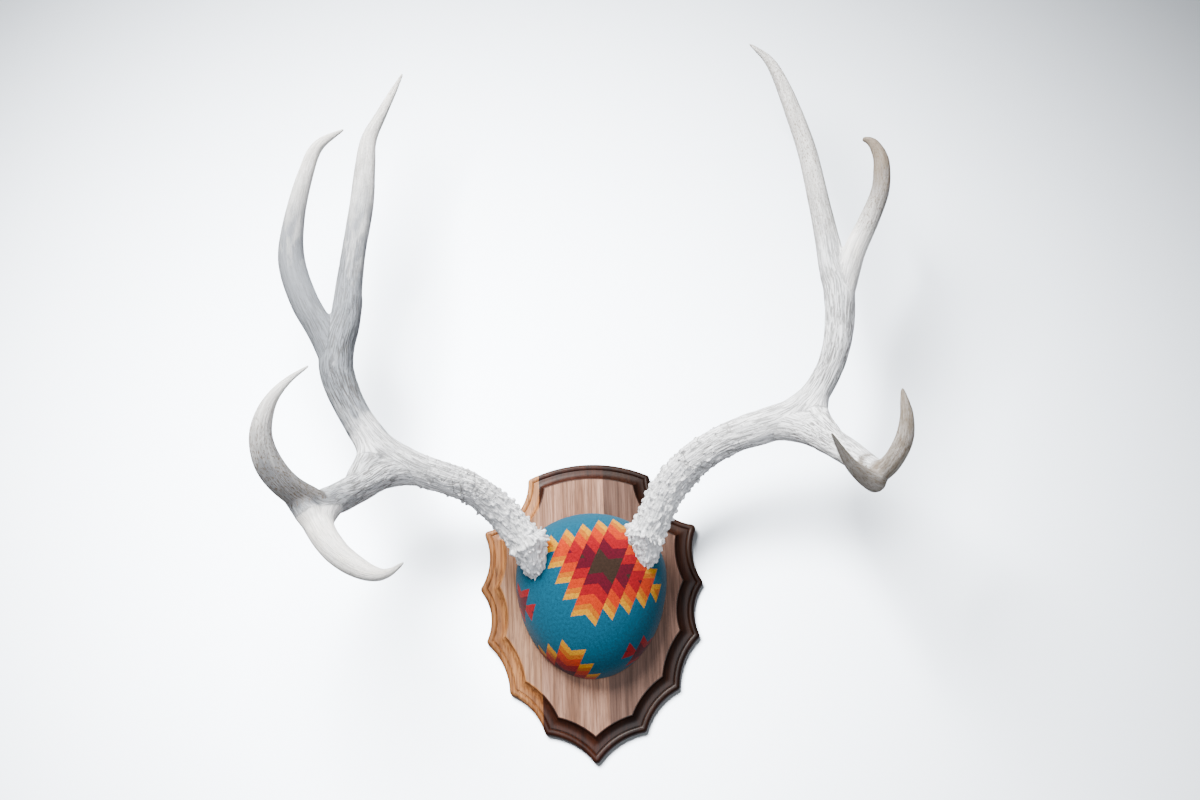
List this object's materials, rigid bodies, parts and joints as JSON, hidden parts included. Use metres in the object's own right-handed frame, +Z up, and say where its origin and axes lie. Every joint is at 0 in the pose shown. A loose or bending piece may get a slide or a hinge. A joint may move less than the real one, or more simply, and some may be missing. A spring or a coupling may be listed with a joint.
{
  "type": "deer antler mount",
  "caption": "Pair of branched deer antlers rising from a blanket covered skull cap on a scalloped walnut wall plaque, as a still, life-size trophy.",
  "frame": {"origin": "middle of the plaque's flat back, in the plane of the wall", "axes": "+Y into the wall, +Z up, +X to the viewer's right; the antlers reach towards -Y"},
  "size_m": [0.582, 0.3593, 0.6989],
  "materials": {
    "walnut": "satin field, glossier moulded edge",
    "blanket": "woven wool, teal ground with bars of yellow, orange, red and brown",
    "antler": null
  },
  "bodies": {
    "root": {"plaque": "walnut", "cap": "blanket", "antler_left_beam": "antler", "antler_left_rear_stem": "antler", "antler_left_rear_inner_tine": "antler", "antler_left_rear_outer_tine": "antler", "antler_left_front_stem": "antler", "antler_left_front_upper_tine": "antler", "antler_left_front_lower_tine": "antler", "antler_right_beam": "antler", "antler_right_rear_stem": "antler", "antler_right_rear_inner_tine": "antler", "antler_right_rear_outer_tine": "antler", "antler_right_front_stem": "antler", "antler_right_front_outer_tine": "antler", "antler_right_front_inner_tine": "antler"}
  },
  "joints": []
}
